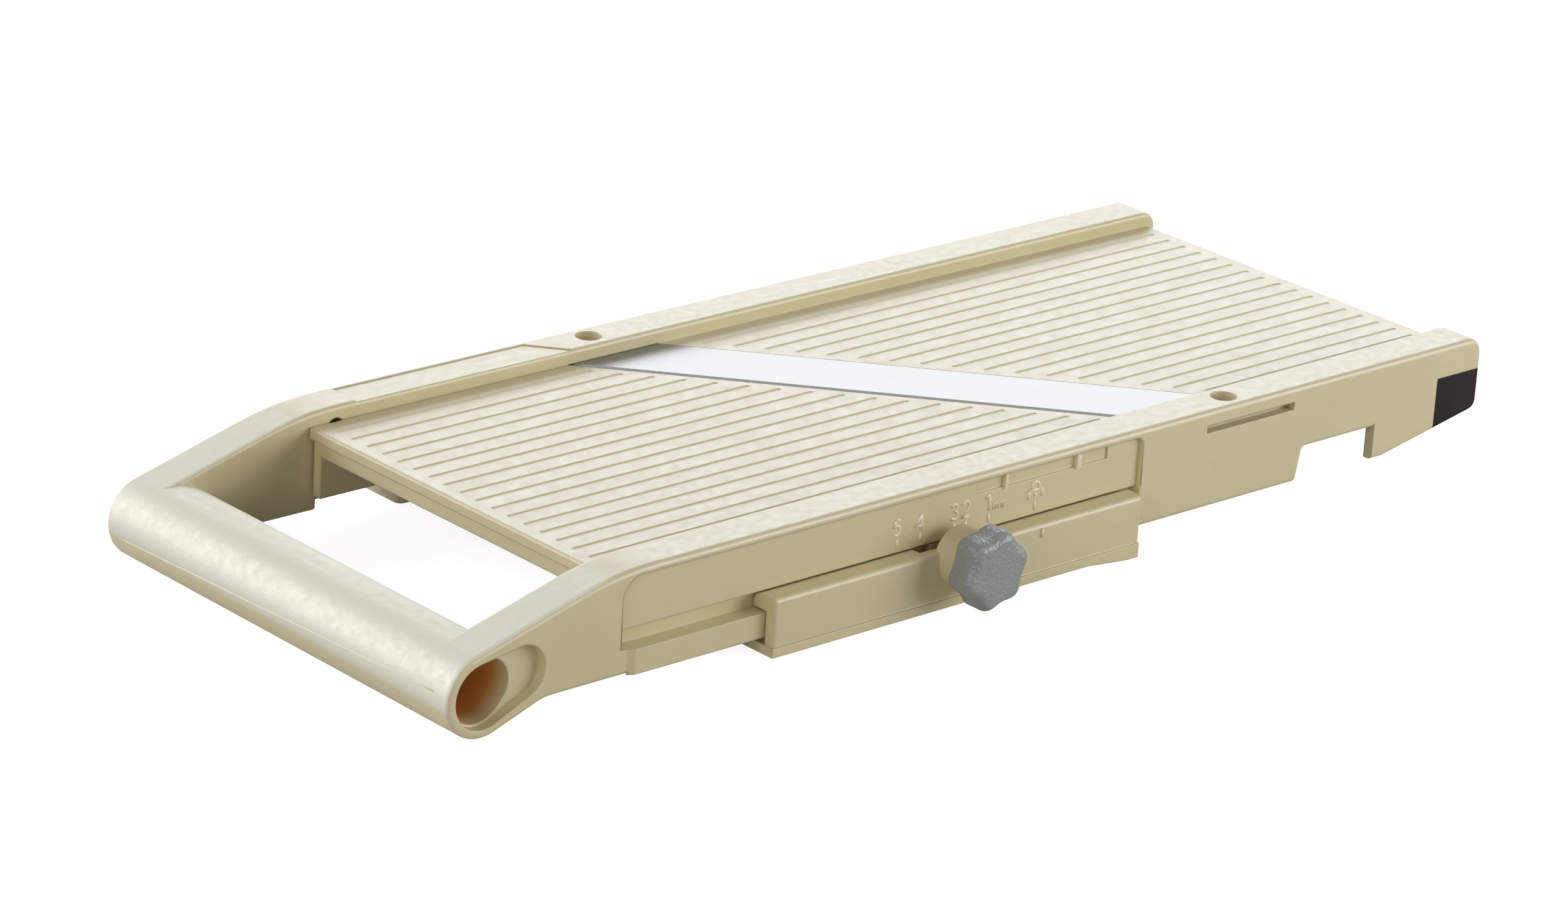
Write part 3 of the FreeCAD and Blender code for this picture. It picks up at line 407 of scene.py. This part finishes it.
def bead_piece(name, lines, width, height, body, finish):
    """A piece of raised beads, sized in millimetres, along lines of (point, outward direction)."""
    width *= MM
    height *= MM
    ring = BEAD_STEPS + 1
    work = bmesh.new()
    for line in lines:
        last = len(line) - 1
        rings = []
        for number, (spot, out) in enumerate(line):
            run = line[min(number + 1, last)][0] - line[max(number - 1, 0)][0]
            side = run.normalized().cross(out).normalized()
            rings.append([])
            for step in range(ring):
                turn = math.pi * step / BEAD_STEPS
                rise = math.sin(turn) ** BEAD_FULLNESS * (height + BEAD_SINK) - BEAD_SINK
                place = spot + side * (math.cos(turn) * width / 2) + out * rise
                rings[-1].append(work.verts.new(place))
        for low, high in zip(rings, rings[1:]):
            for step in range(ring):
                after = (step + 1) % ring
                work.faces.new((low[step], low[after], high[after], high[step]))
        work.faces.new(rings[0])
        work.faces.new(rings[-1])
    bmesh.ops.recalc_face_normals(work, faces=work.faces)
    add_piece(name, work, body, finish)


def slab_piece(name, low, high, edge, body, finish):
    """A thin block with its edges rounded off, between two corners in metres."""
    work = bmesh.new()
    bmesh.ops.create_cube(work, size=1.0)
    size = Vector(high) - Vector(low)
    middle = (Vector(high) + Vector(low)) / 2
    for spot in work.verts:
        spot.co = Vector(a * b for a, b in zip(spot.co, size)) + middle
    bmesh.ops.bevel(work, geom=work.edges[:], offset=edge, segments=3, profile=0.5, affect="EDGES")
    add_piece(name, work, body, finish)


def arc(centre_x, centre_y, radius_x, radius_y, start, end, steps=12):
    """Points of part of an ellipse, with angles in degrees."""
    turns = [math.radians(start + (end - start) * i / steps) for i in range(steps + 1)]
    return [(centre_x + radius_x * math.cos(t), centre_y + radius_y * math.sin(t)) for t in turns]


# Each sign is drawn as strokes in a box one wide and one high.
SIGNS = {
    "5": [
        [(0.95, 1.0), (0.2, 1.0)],
        [(0.2, 1.0), (0.1, 0.54)],
        [(0.1, 0.54)] + arc(0.46, 0.32, 0.47, 0.32, 125, -145),
    ],
    "4": [[(0.7, 0.0), (0.7, 1.0)], [(0.7, 1.0), (0.02, 0.27)], [(0.02, 0.27), (1.0, 0.27)]],
    "3": [arc(0.46, 0.76, 0.40, 0.24, 160, -90), arc(0.46, 0.27, 0.46, 0.26, 90, -155)],
    "2": [arc(0.48, 0.70, 0.44, 0.30, 165, -38) + [(0.04, 0.0)], [(0.04, 0.0), (1.0, 0.0)]],
    "1": [[(0.1, 0.80), (0.62, 1.0)], [(0.62, 1.0), (0.62, 0.0)]],
    "m": [
        [(0.0, 0.0), (0.0, 1.0)],
        [(0.0, 0.55)] + arc(0.25, 0.62, 0.25, 0.36, 165, 0) + [(0.5, 0.0)],
        [(0.5, 0.55)] + arc(0.75, 0.62, 0.25, 0.36, 165, 0) + [(1.0, 0.0)],
    ],
    "lock": [
        [(0.24, 0.52)] + arc(0.5, 0.70, 0.26, 0.30, 180, 0) + [(0.76, 0.52)],
        [(0.0, 0.0), (0.0, 0.5)],
        [(0.0, 0.5), (1.0, 0.5)],
        [(1.0, 0.5), (1.0, 0.0)],
        [(0.5, 0.30), (0.5, 0.12)],
    ],
}

# The thickness scale on the near panel: sign, left edge, foot, width and height in millimetres.
DIGITS = (
    ("5", -38.1, 22.3, 2.5, 4.2),
    ("4", -30.4, 22.1, 2.8, 4.4),
    ("3", -18.2, 22.3, 2.4, 4.2),
    ("2", -14.4, 22.2, 2.6, 4.3),
    ("1", -6.3, 22.1, 2.2, 4.5),
    ("lock", 9.0, 22.2, 4.8, 4.4),
)
UNIT = (
    ("m", -3.4, 22.1, 1.6, 1.7),
    ("m", -1.4, 22.1, 1.6, 1.7),
)
# Where the scale's marks stand along the frame, and their foot and top.
TICKS = (-36.6, -28.7, -17.0, -13.0, -4.9, 11.4)
TICK_SPAN = (18.9, 21.2)
# The mark on the block that points at the scale, and the seam between block and base plate.
INDEX = ((9.05, 13.7), (9.05, 16.1))
BLOCK_SEAM = ((-80.6, 4.35), (44.0, 4.35))
# The rounded lip that runs round the panel of each side.
LIP = (
    [(-127.5, 12.9)]
    + arc(-121.2, 25.5, 6.3, 6.3, 180, 90)
    + arc(46.4, 29.3, 2.5, 2.5, 90, 0)
    + [(48.9, 17.8)]
)


def on_face(spots, face, out=NEAR):
    """A line through places (x, z) in millimetres on an upright face."""
    return [(Vector((x * MM, face, z * MM)), out) for x, z in spots]


def sign_lines(signs):
    """The strokes of signs as lines on the near panel."""
    return [
        on_face([(left + u * wide, foot + v * tall) for u, v in stroke], PANEL)
        for sign, left, foot, wide, tall in signs
        for stroke in SIGNS[sign]
    ]


ticks = [on_face([(place, z) for z in TICK_SPAN], PANEL) for place in TICKS]
# The scale, its unit, the index mark and the block seam are painted paler with the marks plastic: a painted
# highlight.
bead_piece("thickness_scale", sign_lines(DIGITS) + ticks, 0.8, 0.34, "frame", highlight_marks)
bead_piece("scale_unit", sign_lines(UNIT), 0.42, 0.28, "frame", highlight_marks)
bead_piece("scale_index", [on_face(INDEX, BLOCK_FACE)], 0.85, 0.5, "carriage", highlight_marks)
bead_piece("block_seam", [on_face(BLOCK_SEAM, BLOCK_FACE)], 0.3, 0.08, "carriage", highlight_marks)
for name, side in (("near_panel_lip", -1), ("far_panel_lip", 1)):
    lip = on_face(LIP, MIDDLE + side * OUTER_FACE, Vector((0, side, 0)))
    bead_piece(name, [lip], 0.5, 0.1, "frame", plastic)

# Two stops that cross the shallow recess under the near rail: left and right edge, then the sides they share.
STOPS = (("gauge_stop_thin", -0.2, 0.8), ("gauge_stop_thick", 25.3, 26.9))
STOP_FRONT = PANEL - 0.75 * MM
STOP_BACK = PANEL + 0.65 * MM
STOP_FOOT = 27.2 * MM
STOP_TOP = 31.45 * MM
STOP_EDGE = 0.25 * MM
# The stops are painted paler with the marks plastic: a painted highlight.
for name, left, right in STOPS:
    low = (left * MM, STOP_FRONT, STOP_FOOT)
    high = (right * MM, STOP_BACK, STOP_TOP)
    slab_piece(name, low, high, STOP_EDGE, "frame", highlight_marks)

# The fine mould line along the grip, which creeps round it from the near end to the far end.
SEAM_STEPS = 24
SEAM_NEAR = -57.0
SEAM_LENGTH = 129.0
SEAM_START = 169
SEAM_CREEP = 24
seam = []
for number in range(SEAM_STEPS + 1):
    share = number / SEAM_STEPS
    turn = math.radians(SEAM_START + SEAM_CREEP * share)
    out = Vector((math.cos(turn), 0, math.sin(turn)))
    spot = Vector((GRIP_X, SEAM_NEAR + SEAM_LENGTH * share, GRIP_Z)) + out * GRIP_RADIUS
    seam.append((spot * MM, out))
# The mould line is painted paler with the marks plastic: a painted highlight.
bead_piece("grip_mould_line", [seam], 0.34, 0.09, "frame", highlight_marks)

# Lamps: name, place, aim, width and height, power and colour.
# The light from behind is a shade cooler than the fills.
CENTRE = (0.0, 0.0, 0.02)
GRIP = (-0.17, 0.0, 0.01)
COOL = (0.96, 0.98, 1.08)
WHITE = (1.0, 1.0, 1.0)
LAMPS = (
    ("back_softbox", (1.25, 1.35, 0.80), CENTRE, (1.8, 0.9), 15.9, COOL),
    ("handle_softbox", (-1.15, 1.18, 0.58), GRIP, (1.2, 1.1), 14.5, COOL),
    ("front_fill", (1.15, -1.35, 0.5), CENTRE, (1.5, 0.9), 18.5, WHITE),
    ("left_fill", (-1.7, -0.6, 0.7), CENTRE, (1.2, 0.9), 8, WHITE),
)
for name, place, aim, size, power, tone in LAMPS:
    lamp = bpy.data.lights.new(name, "AREA")
    lamp.shape = "RECTANGLE"
    lamp.size, lamp.size_y = size
    lamp.energy = power
    lamp.color = tone
    item = bpy.data.objects.new(name, lamp)
    item.location = place
    item.rotation_euler = (Vector(aim) - Vector(place)).to_track_quat("-Z", "Y").to_euler()
    scene.collection.objects.link(item)

# The world lights the part dimly, and is white where it is seen, mirrored or looked through.
WORLD_TINT = (0.97, 0.98, 1.0, 1.0)
WORLD_DIM = 0.12
WORLD_WHITE = 1.0


def studio_world():
    made = bpy.data.worlds.new("studio")
    made.use_nodes = True
    s = Nodes(made.node_tree)
    rays = s.node("ShaderNodeLightPath").outputs
    seen = s.maths("MAXIMUM", rays["Is Camera Ray"], rays["Is Glossy Ray"])
    seen = s.maths("MAXIMUM", seen, rays["Is Transmission Ray"])
    both = s.node("ShaderNodeMixShader")
    s.link(seen, both.inputs["Fac"])
    for slot, tint, strength in ((1, WORLD_TINT, WORLD_DIM), (2, (*WHITE, 1.0), WORLD_WHITE)):
        light = s.node("ShaderNodeBackground")
        light.inputs["Color"].default_value = tint
        light.inputs["Strength"].default_value = strength
        s.link(light.outputs[0], both.inputs[slot])
    s.link(both.outputs[0], s.node("ShaderNodeOutputWorld").inputs["Surface"])
    return made


scene.world = studio_world()

# The floor's half size in metres, its two close greys, and the light it gives to the camera alone.
FLOOR_HALF = 12.0
FLOOR_GREYS = ((0.80, 0.80, 0.80, 1.0), (0.82, 0.82, 0.82, 1.0))
FLOOR_GLOW = 0.84


def floor_finish():
    """A pale matte floor that the camera sees as white paper and that still takes the shadow."""
    made = bpy.data.materials.new("pale_floor")
    made.use_nodes = True
    s = Nodes(made.node_tree)
    mottle = s.node("ShaderNodeTexNoise")
    mottle.inputs["Scale"].default_value = 6
    s.link(s.node("ShaderNodeTexCoord").outputs["Object"], mottle.inputs["Vector"])
    matte = s.node("ShaderNodeBsdfDiffuse")
    s.link(s.mix(mottle.outputs["Fac"], *FLOOR_GREYS), matte.inputs["Color"])
    glow = s.node("ShaderNodeEmission")
    seen = s.node("ShaderNodeLightPath").outputs["Is Camera Ray"]
    s.link(s.times(seen, FLOOR_GLOW), glow.inputs["Strength"])
    both = s.node("ShaderNodeAddShader")
    s.link(matte.outputs[0], both.inputs[0])
    s.link(glow.outputs[0], both.inputs[1])
    s.link(both.outputs[0], s.node("ShaderNodeOutputMaterial").inputs["Surface"])
    return made


work = bmesh.new()
bmesh.ops.create_grid(work, x_segments=2, y_segments=2, size=FLOOR_HALF)
mesh = bpy.data.meshes.new("studio_floor")
work.to_mesh(mesh)
work.free()
mesh.materials.append(floor_finish())
floor = bpy.data.objects.new("studio_floor", mesh)
scene.collection.objects.link(floor)
floor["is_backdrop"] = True

scene.view_settings.view_transform = "Standard"

# The camera that took the picture, as fitted to the part's edges: focal length in pixels, place and axes.
PHOTO_WIDTH = 2520
FOCAL_PIXELS = 8809.6
SENSOR = 36.0
CAMERA_PLACE = (-0.92442, -0.98454, 0.53045)
CAMERA_RIGHT = Vector((0.74960, -0.65952, 0.05591))
CAMERA_DOWN = Vector((-0.19664, -0.30257, -0.93262))
CAMERA_AHEAD = Vector((0.63200, 0.68810, -0.35650))
lens = bpy.data.cameras.new("camera")
lens.sensor_width = SENSOR
lens.sensor_fit = "HORIZONTAL"
lens.lens = SENSOR * FOCAL_PIXELS / PHOTO_WIDTH
lens.clip_start = 0.05
lens.clip_end = 60.0
camera = bpy.data.objects.new("camera", lens)
turn = Matrix((CAMERA_RIGHT, -CAMERA_DOWN, -CAMERA_AHEAD)).transposed().to_4x4()
camera.matrix_world = Matrix.Translation(CAMERA_PLACE) @ turn
scene.collection.objects.link(camera)
scene.camera = camera

low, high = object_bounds()
